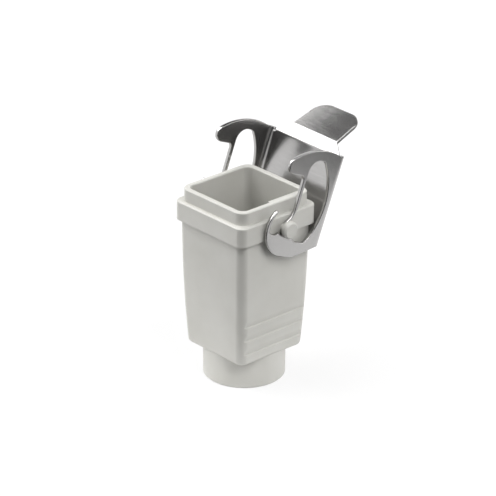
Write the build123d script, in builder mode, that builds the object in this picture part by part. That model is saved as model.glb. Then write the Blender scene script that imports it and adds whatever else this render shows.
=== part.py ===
from build123d import *

import os
from math import acos, atan2, cos, degrees, hypot, radians, sin, sqrt

# Heavy-duty connector hood for a square insert: one moulded shell, and one stamped
# locking lever that is snapped over the shell's two pegs and swings on them.
# Lengths are in millimetres. The origin is the centre of the cable entry's end face,
# +Z points from the cable entry to the mating mouth and +X to the lever's back plate.

# Cable entry
gland_bore_radius = 8.63
entry_wall = 2.47
entry_height = 8.5
entry_edge = 0.4

# Mouth, and the rim, collar and body that step outwards and inwards from it
mouth_width = 21.5
mouth_corner_radius = 1.8
mouth_lead = 0.25
rim_wall = 1.55
rim_height = 3.6
rim_corner_radius = 2.85
rim_edge = 0.25
seat_width = 1.2
collar_height = 5.5
collar_corner_radius = 2.2
collar_edge = 0.35
collar_overhang = 0.9
body_height = 36.1
body_draw_in = 1.3
body_corner_radius = 2.5
body_foot_radius = 1.3
body_wall = 1.85

# Cavity for the insert, with a key pad on one wall
floor_thickness = 2.0
insert_depth = 21.0
insert_ledge = 0.6
key_thickness = 0.5
key_start = -1.3
key_depth = 9.0

# Grip grooves across the two faces that carry the pegs
groove_count = 3
groove_pitch = 4.1
groove_height = 12.0
groove_depth = 0.35
groove_upper_flank = 1.15
groove_lower_flank = 0.38

# Pegs, moulded with the shell
peg_radius = 2.4
peg_reach = 3.0
peg_edge = 0.45
peg_neck_radius = 1.55
peg_head_clearance = 0.25
peg_offset = 1.65
peg_below_collar_top = 3.7

# Lever sheet, its bends and the slack round the shell
sheet = 1.0
arm_clearance = 0.25
bend_radius = 1.5
plate_clearance = 1.55

# Lever arm, measured from the peg's axis: across towards the plate, and along it
plate_below_crown = 0.8
heel_radius = 7.5
heel_drop = 3.8
heel_flat = 4.7
heel_ledge = 1.9
heel_corner_radius = 6.0
horn_width = 0.75
horn_lean = 0.3
horn_tip_angle = 141.5
pocket_depth = 2.15
pocket_start = -2.86
pocket_end_angle = 192.1
seat_clearance = 0.45
seat_lip_angle = -42.0
seat_nib_angle = 207.0
seat_nib_gap = 0.85
hook_reach = 9.6
hook_height = 14.8
hook_nose_radius = 2.2
crown_offset = 5.2
crown_band = 2.85

# Spring finger that snaps over the peg, and the window behind it
finger_width = 1.0
finger_root = 0.45
finger_sway = 0.2
finger_bend = 6.3
finger_waist_height = 2.76
finger_waist_lean = 25.5
finger_tip_width = 0.47
finger_tip_start = 110.5
finger_tip_end = 128.5
finger_clearance = 0.2
throat_radius = 1.3
window_top = 19.35
window_bottom = 3.2
window_floor_start = 3.85
window_floor_radius = 1.5
window_middle = 7.55
window_margin = 0.57
window_side_radius = 17.3
window_shoulder_share = 0.65
window_corner_radius = 2.2

# Neck and thumb tab above the plate
neck_half_width = 12.2
neck_drop = 0.5
neck_length = 3.65
neck_flare = 2.9
neck_angle = 29.5
tab_root_half_width = 8.6
tab_end_half_width = 7.95
tab_length = 10.85
tab_angle = 48.2
tab_corner_radius = 4.5
tab_bend_radius = 2.0
relief_width = 0.7
relief_depth = 0.9

# Widths and heights that follow from the sizes above
entry_radius = gland_bore_radius + entry_wall
rim_width = mouth_width + 2 * rim_wall
collar_width = rim_width + 2 * seat_width
body_width = collar_width - 2 * collar_overhang
mouth_half = mouth_width / 2
collar_half = collar_width / 2
collar_bottom = entry_height + body_height
collar_top = collar_bottom + collar_height
rim_top = collar_top + rim_height
cavity_floor = entry_height + floor_thickness
insert_seat = rim_top - insert_depth
peg_height = collar_top - peg_below_collar_top
arm_inner = collar_half + arm_clearance
arm_outer = arm_inner + sheet
peg_head = arm_outer + peg_head_clearance
bend_outer_radius = bend_radius + sheet
plate_inner = collar_half + plate_clearance - peg_offset
plate_outer = plate_inner + sheet
crown_height = window_top + crown_band
plate_top = crown_height - plate_below_crown

# The body's side draws in along one arc that leaves its top square
side_radius = (body_height**2 + body_draw_in**2) / (2 * body_draw_in)


def body_half(height):
    """Half width of the body at a height."""
    return body_width / 2 - side_radius + sqrt(side_radius**2 - (collar_bottom - height) ** 2)


def tapered_outline(top_half, bottom_half, bottom, top):
    """Outline whose two sides leave the top square and draw in along one arc each."""
    with BuildSketch() as outline:
        with BuildLine():
            TangentArc((top_half, top), (bottom_half, bottom), tangent=(0, -1))
            Line((bottom_half, bottom), (-bottom_half, bottom))
            TangentArc((-top_half, top), (-bottom_half, bottom), tangent=(0, -1))
            Line((-top_half, top), (top_half, top))
        make_face()
    return outline.sketch


# Tapered body, drawn in along both ways
with BuildPart() as body_block:
    side_outline = tapered_outline(
        body_width / 2, body_width / 2 - body_draw_in, entry_height, collar_bottom
    )
    with BuildSketch(Plane.XZ):
        add(side_outline)
    extrude(amount=body_width, both=True)
    with BuildSketch(Plane.YZ):
        add(side_outline)
    extrude(amount=body_width, both=True, mode=Mode.INTERSECT)
    corner_edges = body_block.edges() - body_block.faces().filter_by(Axis.Z).edges()
    fillet(corner_edges, radius=body_corner_radius)
    fillet(body_block.faces().sort_by(Axis.Z)[0].edges(), radius=body_foot_radius)

# Grip grooves: a long upper flank and a short lower one, run out over the corners
with BuildPart() as groove_block:
    with BuildSketch(Plane.YZ):
        for index in range(groove_count):
            level = groove_height + index * groove_pitch
            with BuildLine():
                Polyline(
                    (body_half(level) + groove_depth, level + 2 * groove_upper_flank),
                    (body_half(level) - groove_depth, level),
                    (body_half(level) + groove_depth, level - 2 * groove_lower_flank),
                    close=True,
                )
            make_face()
    extrude(amount=body_width / 2, both=True)
    mirror(about=Plane.XZ)

# Collar with a broken upper edge
with BuildPart() as collar_block:
    with BuildSketch(Plane.XY.offset(collar_bottom)):
        RectangleRounded(collar_width, collar_width, collar_corner_radius)
    extrude(amount=collar_height)
    chamfer(collar_block.faces().sort_by(Axis.Z)[-1].edges(), length=collar_edge)

# Upper cavity, straight for the insert, with the key pad on one wall
with BuildPart() as mouth_block:
    with BuildSketch(Plane.XY.offset(insert_seat)):
        RectangleRounded(mouth_width, mouth_width, mouth_corner_radius)
    extrude(amount=insert_depth)
    with BuildSketch(Plane.XY.offset(rim_top - mouth_lead)):
        RectangleRounded(mouth_width, mouth_width, mouth_corner_radius)
    extrude(amount=mouth_lead, taper=-45)
    with BuildSketch(Plane.XY.offset(rim_top - key_depth)):
        with Locations((key_start, -mouth_half)):
            Rectangle(mouth_width, 2 * key_thickness, align=(Align.MIN, Align.CENTER))
    extrude(amount=key_depth, mode=Mode.SUBTRACT)

# Lower cavity, below the insert's ledge, follows the body's own taper
with BuildPart() as well_block:
    well_outline = tapered_outline(
        mouth_half - insert_ledge, body_half(cavity_floor) - body_wall, cavity_floor, insert_seat
    )
    with BuildSketch(Plane.XZ):
        add(well_outline)
    extrude(amount=mouth_width, both=True)
    with BuildSketch(Plane.YZ):
        add(well_outline)
    extrude(amount=mouth_width, both=True, mode=Mode.INTERSECT)
    well_edges = well_block.edges() - well_block.faces().filter_by(Axis.Z).edges()
    fillet(well_edges, radius=mouth_corner_radius)

# Shell: body, collar, rim, cable entry and pegs in one moulding
with BuildPart() as hood_shell:
    with BuildSketch(Plane.XY):
        Circle(entry_radius)
    extrude(amount=entry_height + floor_thickness)
    chamfer(hood_shell.edges().sort_by(Axis.Z)[0], length=entry_edge)
    add(body_block.part)
    add(groove_block.part, mode=Mode.SUBTRACT)
    add(collar_block.part)
    with BuildSketch(Plane.XY.offset(collar_top)):
        RectangleRounded(rim_width, rim_width, rim_corner_radius)
    extrude(amount=rim_height)
    for outward in (-1, 1):
        for start, end, radius in (
            (mouth_half, peg_head, peg_neck_radius),
            (peg_head, collar_half + peg_reach, peg_radius),
        ):
            peg_start = (peg_offset, outward * start, peg_height)
            with BuildSketch(Plane(origin=peg_start, z_dir=(0, outward, 0))):
                Circle(radius)
            extrude(amount=end - start)
        peg_end = hood_shell.faces().sort_by(Axis.Y)[0 if outward < 0 else -1]
        chamfer(peg_end.edges(), length=peg_edge)
    chamfer(hood_shell.faces().sort_by(Axis.Z)[-1].edges(), length=rim_edge)
    add(mouth_block.part, mode=Mode.SUBTRACT)
    add(well_block.part, mode=Mode.SUBTRACT)
    with BuildSketch(Plane.XY):
        Circle(gland_bore_radius)
    extrude(amount=cavity_floor, mode=Mode.SUBTRACT)

# The opened lever leans back until the heel of its plate is all but on the body
stop_distance = body_width / 2 - peg_offset
heel_distance = hypot(plate_inner, heel_drop)
open_angle = degrees(acos(stop_distance / heel_distance) - atan2(heel_drop, plate_inner))
lever_across = Vector(1, 0, 0).rotate(Axis.Y, open_angle)
lever_along = Vector(0, 0, 1).rotate(Axis.Y, open_angle)
lever_side = Plane(origin=(peg_offset, 0, peg_height), x_dir=lever_across, z_dir=(0, -1, 0))
lever_plan = Plane(origin=(peg_offset, 0, peg_height), x_dir=lever_across, z_dir=lever_along)


def around_peg(radius, angle):
    """Point at a radius and an angle in degrees from the peg's axis, seen from the side."""
    return (radius * cos(radians(angle)), radius * sin(radians(angle)))


def window_side(height):
    """Point on the window's curved side at a height above the peg's axis."""
    nearest_plate = plate_outer - bend_outer_radius - window_margin
    reach = sqrt(window_side_radius**2 - (height - window_middle) ** 2)
    return (nearest_plate - window_side_radius + reach, height)


# Neck and thumb tab, bent outwards from the top of the plate
with BuildPart() as tab_block:
    neck_lean = radians(neck_angle)
    tab_lean = radians(tab_angle)
    neck_base = Vector(plate_inner, plate_top - neck_drop)
    neck_top = neck_base + Vector(sin(neck_lean), cos(neck_lean)) * neck_length
    tab_end = neck_top + Vector(sin(tab_lean), cos(tab_lean)) * tab_length
    with BuildSketch(lever_side):
        with BuildLine():
            tab_path = FilletPolyline(
                neck_base - Vector(0, relief_depth),
                neck_base,
                neck_top,
                tab_end,
                radius=tab_bend_radius,
            )
            offset(tab_path, amount=sheet, side=Side.RIGHT)
        make_face()
    extrude(amount=neck_half_width, both=True)
    tab_origin = lever_side.from_local_coords(neck_top)
    tab_direction = lever_side.from_local_coords(tab_end) - tab_origin
    tab_normal = tab_direction.cross(Vector(0, 1, 0))
    with BuildSketch(Plane(origin=tab_origin, x_dir=tab_direction, z_dir=tab_normal)) as tab_view:
        with BuildLine():
            Polyline(
                (-tab_length, neck_half_width),
                (-neck_flare, neck_half_width),
                (0, tab_root_half_width),
                (tab_length, tab_end_half_width),
                (tab_length, 0),
                (-tab_length, 0),
                close=True,
            )
        make_face()
        mirror(about=Plane.XZ)
        fillet(tab_view.vertices().sort_by(Axis.X)[-2:], radius=tab_corner_radius)
    extrude(amount=tab_length, both=True, mode=Mode.INTERSECT)

# Corners of the stamped arm, as seen from the side of the closed lever
seat_radius = peg_neck_radius + seat_clearance
horn_outer_radius = heel_radius - horn_lean
horn_radius = horn_outer_radius - horn_width
bend_start = plate_outer - bend_outer_radius
hook_point = (-hook_reach, hook_height)
throat = (finger_root, hook_height)
finger_front = (finger_root + finger_sway, finger_bend)
finger_back = (finger_front[0] + finger_width, finger_bend)
tip_radius = peg_neck_radius + finger_clearance
waist_across = finger_width / 2 * cos(radians(finger_waist_lean))
waist_rise = finger_width / 2 * sin(radians(finger_waist_lean))
window_shoulder = (finger_root + finger_width, window_top)
window_top_width = window_side(window_top)[0] - window_shoulder[0]
window_floor = (window_floor_start, -window_bottom)
heel_corner = (heel_flat, -heel_radius)

with BuildPart() as locking_lever:
    # Both arms at once: hook, finger, window, seat, pocket, horn and heel
    with BuildSketch(lever_side) as arm_view:
        with BuildLine():
            Polyline(
                heel_corner,
                (plate_outer - heel_ledge, -heel_drop),
                (plate_outer, -heel_drop),
                (plate_outer, plate_top),
                (bend_start, plate_top),
            )
            ThreePointArc((bend_start, plate_top), (crown_offset, crown_height), hook_point)
            Polyline(hook_point, throat, finger_front)
            waist_front = (-waist_across, finger_waist_height - waist_rise)
            waist_back = (waist_across, finger_waist_height + waist_rise)
            tip_front = around_peg(tip_radius + finger_tip_width, finger_tip_end)
            tip_back = around_peg(tip_radius, finger_tip_start)
            ThreePointArc(finger_front, waist_front, tip_front)
            Line(tip_front, tip_back)
            ThreePointArc(tip_back, waist_back, finger_back)
            Polyline(finger_back, window_shoulder, window_side(window_top))
            ThreePointArc(
                window_side(window_top),
                window_side(window_middle),
                window_side(-window_bottom),
            )
            seat_lip = around_peg(seat_radius, seat_lip_angle)
            seat_nib = around_peg(seat_radius + seat_nib_gap, seat_nib_angle)
            Polyline(window_side(-window_bottom), window_floor, seat_lip)
            ThreePointArc(seat_lip, around_peg(seat_radius, -90), seat_nib)
            pocket_lip = (pocket_start, pocket_start * seat_nib[1] / seat_nib[0])
            pocket_corner = around_peg(horn_radius, pocket_end_angle)
            pocket_middle = ((pocket_lip[0] + pocket_corner[0]) / 2, -pocket_depth)
            Line(seat_nib, pocket_lip)
            ThreePointArc(pocket_lip, pocket_middle, pocket_corner)
            horn_inside = around_peg(horn_radius, horn_tip_angle)
            horn_outside = around_peg(horn_outer_radius, horn_tip_angle)
            ThreePointArc(pocket_corner, around_peg(horn_radius, 170), horn_inside)
            Line(horn_inside, horn_outside)
            ThreePointArc(horn_outside, around_peg(heel_radius, 200), (0, -heel_radius))
            Line((0, -heel_radius), heel_corner)
        make_face()
        rounded_corners = (
            (hook_point, hook_nose_radius),
            (throat, throat_radius),
            (window_shoulder, window_shoulder_share * window_top_width),
            (window_side(window_top), window_corner_radius),
            (window_side(-window_bottom), window_corner_radius),
            (window_floor, window_floor_radius),
            (heel_corner, heel_corner_radius),
        )
        for corner, corner_radius in rounded_corners:
            fillet(arm_view.vertices().sort_by_distance(corner)[0], radius=corner_radius)
    extrude(amount=arm_outer, both=True)

    # The blank is bent to a channel round the collar
    with BuildSketch(lever_plan) as channel:
        for half_width, end, corner_radius, cut_mode in (
            (arm_outer, plate_outer, bend_outer_radius, Mode.ADD),
            (arm_inner, plate_inner, bend_radius, Mode.SUBTRACT),
        ):
            with BuildLine():
                FilletPolyline(
                    (-plate_outer, half_width),
                    (end, half_width),
                    (end, -half_width),
                    (-plate_outer, -half_width),
                    radius=corner_radius,
                )
                Line((-plate_outer, half_width), (-plate_outer, -half_width))
            make_face(mode=cut_mode)
    extrude(amount=2 * crown_height, both=True, mode=Mode.INTERSECT)

    # The plate gives way to the neck, with a relief notch beside each end of the bend
    with BuildSketch(lever_plan.offset(plate_top - relief_depth)):
        Rectangle(4 * plate_outer, 2 * (neck_half_width + relief_width))
    extrude(amount=2 * relief_depth, mode=Mode.SUBTRACT)
    add(tab_block.part)

os.makedirs("parts", exist_ok=True)
hood_shell.part.label = "hood_shell"
export_step(hood_shell.part, "parts/hood_shell.step")
locking_lever.part.label = "locking_lever"
export_step(locking_lever.part, "parts/locking_lever.step")
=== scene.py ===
"""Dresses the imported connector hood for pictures: moulded plastic, stamped steel, floor, light, camera.

Lengths are in metres unless a name or a description says millimetres.
"""

import math

import bmesh
import bpy
from mathutils import Matrix, Vector


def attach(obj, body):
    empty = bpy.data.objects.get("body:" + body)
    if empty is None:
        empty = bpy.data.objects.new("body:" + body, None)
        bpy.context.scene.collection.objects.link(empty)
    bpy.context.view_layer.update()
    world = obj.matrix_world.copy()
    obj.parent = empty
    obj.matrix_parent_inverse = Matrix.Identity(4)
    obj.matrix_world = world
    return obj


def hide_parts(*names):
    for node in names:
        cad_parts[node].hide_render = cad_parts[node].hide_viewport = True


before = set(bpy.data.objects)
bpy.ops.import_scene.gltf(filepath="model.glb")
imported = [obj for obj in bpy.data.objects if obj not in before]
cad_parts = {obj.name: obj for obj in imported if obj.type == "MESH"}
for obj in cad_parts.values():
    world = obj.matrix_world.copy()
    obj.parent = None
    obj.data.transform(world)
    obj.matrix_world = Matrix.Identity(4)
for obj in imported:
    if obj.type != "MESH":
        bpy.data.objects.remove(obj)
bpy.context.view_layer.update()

bl_info = {
    "name": "Connector hood",
    "version": (1, 0, 0),
    "blender": (4, 5, 0),
    "location": "3D View > Sidebar > Hood",
    "description": "Finishes a heavy-duty connector hood and its locking lever, and sets the stage",
    "category": "Object",
}

MM = 0.001
# Point on the hood's axis that the camera and the lamps are placed around
HOOD_MIDDLE = Vector((0, 0, 0.03))


def linear(hex_colour):
    """Linear red, green, blue and alpha of an sRGB colour written as hex."""
    channels = [int(hex_colour[i : i + 2], 16) / 255 for i in (1, 3, 5)]
    return tuple(c / 12.92 if c <= 0.04045 else ((c + 0.055) / 1.055) ** 2.4 for c in channels) + (1.0,)


# Sizes and colours that a user would change

COLOUR = {"subtype": "COLOR", "size": 4, "min": 0.0, "max": 1.0}
EDGE_LIMITS_MM = {"min": 0.02, "max": 0.2}


class HoodFinish(bpy.types.PropertyGroup):
    """Colours and edges of the moulded shell."""

    plastic: bpy.props.FloatVectorProperty(
        name="Plastic",
        description="Light grey of the glass-filled polycarbonate",
        default=linear("#C7C6C1"),
        **COLOUR,
    )
    flow_marks: bpy.props.FloatVectorProperty(
        name="Flow marks",
        description="Slightly darker grey of the faint flow marks in the moulding",
        default=linear("#BFBEB8"),
        **COLOUR,
    )
    edge_round: bpy.props.FloatProperty(
        name="Edge rounding",
        description="Rounding of the mould's edges, in millimetres",
        default=0.1,
        **EDGE_LIMITS_MM,
    )


class LeverFinish(bpy.types.PropertyGroup):
    """Colours and edges of the stamped lever."""

    steel: bpy.props.FloatVectorProperty(
        name="Steel",
        description="Colour of the rolled stainless sheet",
        default=linear("#B9B8B7"),
        **COLOUR,
    )
    roll_lines: bpy.props.FloatVectorProperty(
        name="Roll lines",
        description="Darker colour in the sheet's rolling lines",
        default=linear("#B2B1B0"),
        **COLOUR,
    )
    edge_round: bpy.props.FloatProperty(
        name="Edge rounding",
        description="Rounding of the cut edges, in millimetres",
        default=0.2,
        **EDGE_LIMITS_MM,
    )


class StageSettings(bpy.types.PropertyGroup):
    """Floor and camera."""

    floor: bpy.props.FloatVectorProperty(
        name="Floor",
        description="Colour of the pale floor",
        default=linear("#F2F2F2"),
        **COLOUR,
    )
    floor_width: bpy.props.FloatProperty(
        name="Floor width",
        description="Side of the square floor",
        default=4.0,
        min=1.0,
        unit="LENGTH",
    )
    azimuth: bpy.props.FloatProperty(
        name="Azimuth",
        description="Turn of the camera about the vertical",
        default=math.radians(42.373),
        subtype="ANGLE",
    )
    elevation: bpy.props.FloatProperty(
        name="Elevation",
        description="Camera above the horizontal",
        default=math.radians(24.827),
        subtype="ANGLE",
    )
    roll: bpy.props.FloatProperty(
        name="Roll",
        description="Turn of the picture",
        default=math.radians(-0.486),
        subtype="ANGLE",
    )
    distance: bpy.props.FloatProperty(
        name="Distance",
        description="Camera to the middle of the hood",
        default=0.974,
        min=0.2,
        unit="LENGTH",
    )
    lens: bpy.props.FloatProperty(
        name="Lens",
        description="Focal length in millimetres on a 36 mm sensor",
        default=265.0,
        min=20.0,
        max=600.0,
        unit="CAMERA",
    )


# Materials


def add_node(tree, kind, inputs=None, links=None, **settings):
    """New node with its settings, input values and links from other sockets."""
    node = tree.nodes.new(kind)
    for name, value in settings.items():
        setattr(node, name, value)
    for name, value in (inputs or {}).items():
        node.inputs[name].default_value = value
    for name, socket in (links or {}).items():
        tree.links.new(socket, node.inputs[name])
    return node


def new_material(name):
    """Empty node material and its tree."""
    material = bpy.data.materials.new(name)
    material.use_nodes = True
    material.node_tree.nodes.clear()
    return material, material.node_tree


def moulded_polycarbonate(finish):
    """Light grey glass-filled polycarbonate from a fine-eroded mould.

    The eye sees a satin skin with a very fine even grain, faint clouds from the melt's flow, and edges
    that catch the light.
    """
    flow_mm = 14.0
    # The mould's real grain is about 0.05 mm, too fine for the picture, so it is drawn at 0.3 mm
    grain_mm = 0.3
    grain_height_mm = 0.03
    grain_strength = 0.12
    smoothest, roughest = 0.40, 0.48
    polycarbonate_ior = 1.585
    # Nearly all of a noise lies between these two values
    low, high = 0.3, 0.7
    material, tree = new_material("moulded_polycarbonate")
    place = add_node(tree, "ShaderNodeTexCoord")
    flow = add_node(
        tree,
        "ShaderNodeTexNoise",
        inputs={"Scale": 1 / (flow_mm * MM), "Detail": 3.0, "Roughness": 0.55},
        links={"Vector": place.outputs["Object"]},
    )
    grain = add_node(
        tree,
        "ShaderNodeTexNoise",
        inputs={"Scale": 1 / (grain_mm * MM), "Detail": 2.0},
        links={"Vector": place.outputs["Object"]},
    )
    colour = add_node(tree, "ShaderNodeValToRGB", links={"Fac": flow.outputs["Fac"]})
    darker, lighter = colour.color_ramp.elements
    darker.position = low
    darker.color = finish.flow_marks
    lighter.position = high
    lighter.color = finish.plastic
    satin = add_node(
        tree,
        "ShaderNodeMapRange",
        inputs={"From Min": low, "From Max": high, "To Min": smoothest, "To Max": roughest},
        links={"Value": grain.outputs["Fac"]},
    )
    skin = add_node(
        tree,
        "ShaderNodeBump",
        inputs={"Strength": grain_strength, "Distance": grain_height_mm * MM},
        links={"Height": grain.outputs["Fac"]},
    )
    plastic = add_node(
        tree,
        "ShaderNodeBsdfPrincipled",
        inputs={"IOR": polycarbonate_ior},
        links={
            "Base Color": colour.outputs["Color"],
            "Roughness": satin.outputs["Result"],
            "Normal": skin.outputs["Normal"],
        },
    )
    add_node(tree, "ShaderNodeOutputMaterial", links={"Surface": plastic.outputs["BSDF"]})
    return material


def rolled_stainless(finish):
    """Cold-rolled stainless sheet, stamped, bent and tumbled.

    The eye sees soft blurred reflections, faint lines across the plate and the tab, and a fine grain on
    the arms. Its reflections change from side to side, because bending left the plate a little bowed and
    the thumb tab a little dished.
    """
    # Rolling lines are about 0.05 mm apart; they are drawn at 0.25 mm so that they show
    line_mm = 0.25
    line_length_mm = 6.0
    line_depth_mm = 0.01
    line_strength = 0.05
    haze_mm = 6.0
    smoothest, roughest = 0.20, 0.26
    bow_radius_mm = 140.0
    dish_radius_mm = 105.0
    # Upward part of the normals of the plate and of the tab, with the lever open as the frame has it
    plate_rise, tab_rise = 0.38, 0.94
    # Nearly all of a noise lies between these two values
    low, high = 0.35, 0.65
    material, tree = new_material("rolled_stainless_sheet")
    place = add_node(tree, "ShaderNodeTexCoord")
    across_lever = add_node(
        tree,
        "ShaderNodeMapping",
        vector_type="TEXTURE",
        inputs={"Scale": (line_mm * MM, line_length_mm * MM, line_mm * MM)},
        links={"Vector": place.outputs["Object"]},
    )
    lines = add_node(
        tree,
        "ShaderNodeTexNoise",
        inputs={"Scale": 1.0, "Detail": 3.0, "Roughness": 0.6},
        links={"Vector": across_lever.outputs["Vector"]},
    )
    haze = add_node(
        tree,
        "ShaderNodeTexNoise",
        inputs={"Scale": 1 / (haze_mm * MM), "Detail": 2.0},
        links={"Vector": place.outputs["Object"]},
    )
    colour = add_node(tree, "ShaderNodeValToRGB", links={"Fac": lines.outputs["Fac"]})
    darker, lighter = colour.color_ramp.elements
    darker.position = low
    darker.color = finish.roll_lines
    lighter.position = high
    lighter.color = finish.steel
    lines_and_haze = add_node(
        tree,
        "ShaderNodeMath",
        operation="ADD",
        links={0: lines.outputs["Fac"], 1: haze.outputs["Fac"]},
    )
    blur = add_node(
        tree,
        "ShaderNodeMapRange",
        inputs={"From Min": 2 * low, "From Max": 2 * high, "To Min": smoothest, "To Max": roughest},
        links={"Value": lines_and_haze.outputs["Value"]},
    )
    # The bow and the dish turn the normals sideways, in step with the distance from the middle
    sides = add_node(tree, "ShaderNodeSeparateXYZ", links={"Vector": place.outputs["Object"]})
    facing = add_node(tree, "ShaderNodeSeparateXYZ", links={"Vector": place.outputs["Normal"]})
    curve = add_node(
        tree,
        "ShaderNodeMapRange",
        inputs={
            "From Min": plate_rise,
            "From Max": tab_rise,
            "To Min": 1 / (bow_radius_mm * MM),
            "To Max": -1 / (dish_radius_mm * MM),
        },
        links={"Value": facing.outputs["Z"]},
    )
    slope = add_node(
        tree,
        "ShaderNodeMath",
        operation="MULTIPLY",
        links={0: sides.outputs["Y"], 1: curve.outputs["Result"]},
    )
    sideways = add_node(tree, "ShaderNodeCombineXYZ", links={"Y": slope.outputs["Value"]})
    tilted = add_node(
        tree,
        "ShaderNodeVectorMath",
        operation="ADD",
        links={0: place.outputs["Normal"], 1: sideways.outputs["Vector"]},
    )
    curved = add_node(
        tree,
        "ShaderNodeVectorTransform",
        vector_type="NORMAL",
        convert_from="OBJECT",
        convert_to="WORLD",
        links={"Vector": tilted.outputs["Vector"]},
    )
    scratch = add_node(
        tree,
        "ShaderNodeBump",
        inputs={"Strength": line_strength, "Distance": line_depth_mm * MM},
        links={"Height": lines.outputs["Fac"], "Normal": curved.outputs["Vector"]},
    )
    steel = add_node(
        tree,
        "ShaderNodeBsdfPrincipled",
        inputs={"Metallic": 1.0},
        links={
            "Base Color": colour.outputs["Color"],
            "Roughness": blur.outputs["Result"],
            "Normal": scratch.outputs["Normal"],
        },
    )
    add_node(tree, "ShaderNodeOutputMaterial", links={"Surface": steel.outputs["BSDF"]})
    return material


def matt_paper(colour):
    """Pale matt paper of a studio table.

    The eye sees an even white, because most of it is lifted to white for the rays that see it. The rest
    is lit as paper is, which keeps the object's shadow.
    """
    white_share = 0.8
    material, tree = new_material("matt_paper_floor")
    paper = add_node(tree, "ShaderNodeBsdfDiffuse", inputs={"Color": colour, "Roughness": 0.5})
    glow = add_node(tree, "ShaderNodeEmission", inputs={"Color": (1.0, 1.0, 1.0, 1.0), "Strength": 1.0})
    ray = add_node(tree, "ShaderNodeLightPath")
    seen = add_node(
        tree,
        "ShaderNodeMath",
        operation="MAXIMUM",
        links={0: ray.outputs["Is Camera Ray"], 1: ray.outputs["Is Glossy Ray"]},
    )
    seen_through = add_node(
        tree,
        "ShaderNodeMath",
        operation="MAXIMUM",
        links={0: seen.outputs["Value"], 1: ray.outputs["Is Transmission Ray"]},
    )
    share = add_node(
        tree,
        "ShaderNodeMath",
        operation="MULTIPLY",
        inputs={1: white_share},
        links={0: seen_through.outputs["Value"]},
    )
    lifted = add_node(
        tree,
        "ShaderNodeMixShader",
        links={"Fac": share.outputs["Value"], 1: paper.outputs["BSDF"], 2: glow.outputs["Emission"]},
    )
    add_node(tree, "ShaderNodeOutputMaterial", links={"Surface": lifted.outputs["Shader"]})
    return material


def matt_felt(hex_colour):
    """Matt felt of a card that darkens a part of the studio, with no highlight.

    From below it lets light through, so that the floor under it stays as bright as the rest.
    """
    material, tree = new_material("matt_felt")
    felt = add_node(tree, "ShaderNodeBsdfDiffuse", inputs={"Color": linear(hex_colour)})
    clear = add_node(tree, "ShaderNodeBsdfTransparent")
    geometry = add_node(tree, "ShaderNodeNewGeometry")
    one_sided = add_node(
        tree,
        "ShaderNodeMixShader",
        links={"Fac": geometry.outputs["Backfacing"], 1: felt.outputs["BSDF"], 2: clear.outputs["BSDF"]},
    )
    add_node(tree, "ShaderNodeOutputMaterial", links={"Surface": one_sided.outputs["Shader"]})
    return material


# Pieces

# Faces that turn less than the first angle are joined, and edges that turn more than the second rounded
FLAT_WITHIN = math.radians(0.1)
EDGE_FROM = math.radians(28)
ROUNDING_STEPS = 2


def finished_piece(node, name, edge_round, material, shortest_edge=0.0005, clamp=True):
    """The node's own surface with joined faces, rounded edges and smooth shading, standing for the node.

    The rounding and the shortest edge are in millimetres, and corners nearer than that edge are joined.
    A clamped rounding is narrower wherever the piece is fine.
    """
    mesh = bpy.data.meshes.new(name)
    shape = bmesh.new()
    shape.from_mesh(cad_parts[node].data)
    bmesh.ops.remove_doubles(shape, verts=shape.verts, dist=shortest_edge * MM)
    bmesh.ops.dissolve_limit(
        shape,
        angle_limit=FLAT_WITHIN,
        use_dissolve_boundaries=False,
        verts=shape.verts,
        edges=shape.edges,
    )
    for face in shape.faces:
        face.smooth = True
    shape.to_mesh(mesh)
    shape.free()
    mesh.materials.append(material)
    piece = bpy.data.objects.new(name, mesh)
    bpy.context.scene.collection.objects.link(piece)
    rounding = piece.modifiers.new("edge rounding", "BEVEL")
    rounding.limit_method = "ANGLE"
    rounding.angle_limit = EDGE_FROM
    rounding.width = edge_round * MM
    rounding.segments = ROUNDING_STEPS
    rounding.use_clamp_overlap = clamp
    flats = piece.modifiers.new("flat faces stay flat", "WEIGHTED_NORMAL")
    flats.keep_sharp = True
    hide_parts(node)
    return piece


class HOOD_OT_moulded_shell(bpy.types.Operator):
    """Finishes the moulded shell in light grey polycarbonate."""

    bl_idname = "hood.moulded_shell"
    bl_label = "Moulded shell"

    def execute(self, context):
        finish = context.scene.hood_finish
        material = moulded_polycarbonate(finish)
        piece = finished_piece("hood_shell", "moulded_shell", finish.edge_round, material)
        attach(piece, "hood")
        return {"FINISHED"}


class HOOD_OT_stamped_lever(bpy.types.Operator):
    """Finishes the locking lever in rolled stainless sheet."""

    bl_idname = "hood.stamped_lever"
    bl_label = "Stamped lever"

    def execute(self, context):
        finish = context.scene.lever_finish
        material = rolled_stainless(finish)
        # The short facets at the relief notches are joined, because an unclamped rounding folds over them
        piece = finished_piece(
            "locking_lever", "stamped_lever", finish.edge_round, material, shortest_edge=0.065, clamp=False
        )
        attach(piece, "lever")
        return {"FINISHED"}


# Stage

WORLD_GREY = linear("#4C4C4C")
# Each softbox: direction from the hood, distance, width, height, and power in watts
SOFTBOXES = {
    "top_softbox": ((-0.25, 0.44, 0.87), 1.4, 1.35, 1.4, 23.5),
    "left_softbox": ((-0.73, 0.64, 0.28), 1.3, 2.4, 1.8, 13.4),
    "right_softbox": ((0.66, -0.74, 0.16), 1.2, 0.9, 0.5, 5.0),
    "front_softbox": ((0.0, -0.62, 0.78), 1.4, 0.8, 0.8, 12.5),
}
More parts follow.
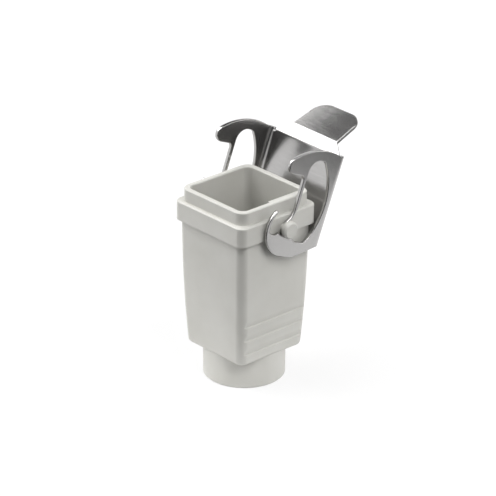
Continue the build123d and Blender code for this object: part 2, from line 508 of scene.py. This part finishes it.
# Each card on the floor: direction from the hood, nearest and farthest edge, width and colour
CARDS = {
    "right_grey_card": ((0.90, -0.44), 0.133, 1.4, 1.6, "#6E6E6E"),
    "front_grey_card": ((-0.67, -0.74), 0.03, 0.085, 0.6, "#8C8C8C"),
    "front_black_card": ((-0.67, -0.74), 0.085, 1.4, 1.4, "#1A1A1A"),
}
CARD_LIFT = 1.0 * MM
BACKDROP_DISTANCE = 1.35
# Height above the floor; the sheet goes as far below it
BACKDROP_HEIGHT = 0.84
# The picture's centre lies this far to the right of the hood's middle, and this far above it
PICTURE_RIGHT = 0.849 * MM
PICTURE_ABOVE = 5.759 * MM
SENSOR_WIDTH_MM = 36.0


def add_sheet(name, width, depth, place, material):
    """Flat rectangle for the stage, level and face up until the place matrix turns it."""
    shape = bmesh.new()
    sized = place @ Matrix.Diagonal((width, depth, 1, 1))
    bmesh.ops.create_grid(shape, x_segments=1, y_segments=1, size=0.5, matrix=sized)
    mesh = bpy.data.meshes.new(name)
    shape.to_mesh(mesh)
    shape.free()
    mesh.materials.append(material)
    sheet = bpy.data.objects.new(name, mesh)
    bpy.context.scene.collection.objects.link(sheet)
    return sheet


def lay_floor(stage):
    """Square floor, and a backdrop of the same paper that stands across the camera's view."""
    paper = matt_paper(stage.floor)
    floor = add_sheet("floor", stage.floor_width, stage.floor_width, Matrix(), paper)
    across_view = Matrix.Rotation(-stage.azimuth, 4, "Z")
    behind_hood = across_view @ Matrix.Translation((0, BACKDROP_DISTANCE, 0))
    upright = behind_hood @ Matrix.Rotation(math.radians(90), 4, "X")
    backdrop = add_sheet("backdrop", stage.floor_width, 2 * BACKDROP_HEIGHT, upright, paper)


def add_softbox(name, direction, distance, width, height, power):
    """Rectangular area light that faces the hood."""
    lamp = bpy.data.lights.new(name, "AREA")
    lamp.shape = "RECTANGLE"
    lamp.size = width
    lamp.size_y = height
    lamp.energy = power
    holder = bpy.data.objects.new(name, lamp)
    away = Vector(direction).normalized()
    holder.location = HOOD_MIDDLE + away * distance
    holder.rotation_euler = away.to_track_quat("Z", "Y").to_euler()
    bpy.context.scene.collection.objects.link(holder)


def add_card(name, direction, nearest, farthest, width, hex_colour):
    """Card lying on the floor, as a studio darkens the reflections in bright metal.

    The camera doesn't see it: it only takes the floor's bounced light away on its side.
    """
    away = Vector((*direction, 0)).normalized()
    middle = away * (nearest + farthest) / 2 + Vector((0, 0, CARD_LIFT))
    place = Matrix.Translation(middle) @ away.to_track_quat("Y", "Z").to_matrix().to_4x4()
    card = add_sheet(name, width, farthest - nearest, place, matt_felt(hex_colour))
    card.visible_camera = False
    card.visible_shadow = False


def set_world(scene):
    """Even grey room that fills the shadows."""
    world = bpy.data.worlds.new("studio")
    world.use_nodes = True
    world.node_tree.nodes.clear()
    room = add_node(world.node_tree, "ShaderNodeBackground", inputs={"Color": WORLD_GREY})
    add_node(world.node_tree, "ShaderNodeOutputWorld", links={"Surface": room.outputs["Background"]})
    scene.world = world


def add_camera(stage):
    """Camera at the photograph's viewing angle, with its small shift made by moving the camera."""
    turn, rise, roll = stage.azimuth, stage.elevation, stage.roll
    across = Vector((math.cos(turn), -math.sin(turn), 0))
    level = Vector((math.sin(turn), math.cos(turn), 0))
    upright = Vector((0, 0, 1))
    forward = level * math.cos(rise) - upright * math.sin(rise)
    upward = level * math.sin(rise) + upright * math.cos(rise)
    camera_x = across * math.cos(roll) - upward * math.sin(roll)
    camera_y = across * math.sin(roll) + upward * math.cos(roll)
    place = HOOD_MIDDLE - forward * stage.distance
    place += camera_x * PICTURE_RIGHT + camera_y * PICTURE_ABOVE
    lens = bpy.data.cameras.new("camera")
    lens.lens = stage.lens
    lens.sensor_width = SENSOR_WIDTH_MM
    lens.clip_start = 0.05
    camera = bpy.data.objects.new("camera", lens)
    turned = Matrix((camera_x, camera_y, -forward)).transposed().to_4x4()
    camera.matrix_world = Matrix.Translation(place) @ turned
    bpy.context.scene.collection.objects.link(camera)
    bpy.context.scene.camera = camera


class HOOD_OT_stage(bpy.types.Operator):
    """Lays the floor and sets the lights, the world and the camera."""

    bl_idname = "hood.stage"
    bl_label = "Stage"

    def execute(self, context):
        stage = context.scene.stage_settings
        lay_floor(stage)
        for name, softbox in SOFTBOXES.items():
            add_softbox(name, *softbox)
        for name, card in CARDS.items():
            add_card(name, *card)
        set_world(context.scene)
        context.scene.view_settings.view_transform = "Standard"
        add_camera(stage)
        return {"FINISHED"}


class HOOD_PT_panel(bpy.types.Panel):
    """Lists the pieces and the stage with their settings."""

    bl_idname = "HOOD_PT_panel"
    bl_label = "Connector hood"
    bl_space_type = "VIEW_3D"
    bl_region_type = "UI"
    bl_category = "Hood"

    def draw(self, context):
        groups = (
            (HOOD_OT_moulded_shell, context.scene.hood_finish),
            (HOOD_OT_stamped_lever, context.scene.lever_finish),
            (HOOD_OT_stage, context.scene.stage_settings),
        )
        for operator, settings in groups:
            box = self.layout.box()
            for name in settings.__annotations__:
                box.prop(settings, name)
            box.operator(operator.bl_idname)


PROPERTY_GROUPS = {
    "hood_finish": HoodFinish,
    "lever_finish": LeverFinish,
    "stage_settings": StageSettings,
}
OPERATORS = (HOOD_OT_moulded_shell, HOOD_OT_stamped_lever, HOOD_OT_stage)


def register():
    """Registers the settings, the operators and the panel."""
    for name, group in PROPERTY_GROUPS.items():
        bpy.utils.register_class(group)
        setattr(bpy.types.Scene, name, bpy.props.PointerProperty(type=group))
    for item in (*OPERATORS, HOOD_PT_panel):
        bpy.utils.register_class(item)


def unregister():
    """Takes back what register added."""
    for item in (HOOD_PT_panel, *reversed(OPERATORS)):
        bpy.utils.unregister_class(item)
    for name, group in reversed(PROPERTY_GROUPS.items()):
        delattr(bpy.types.Scene, name)
        bpy.utils.unregister_class(group)


def main():
    register()
    bpy.ops.hood.moulded_shell()
    bpy.ops.hood.stamped_lever()
    bpy.ops.hood.stage()


if __name__ == "__main__":
    main()
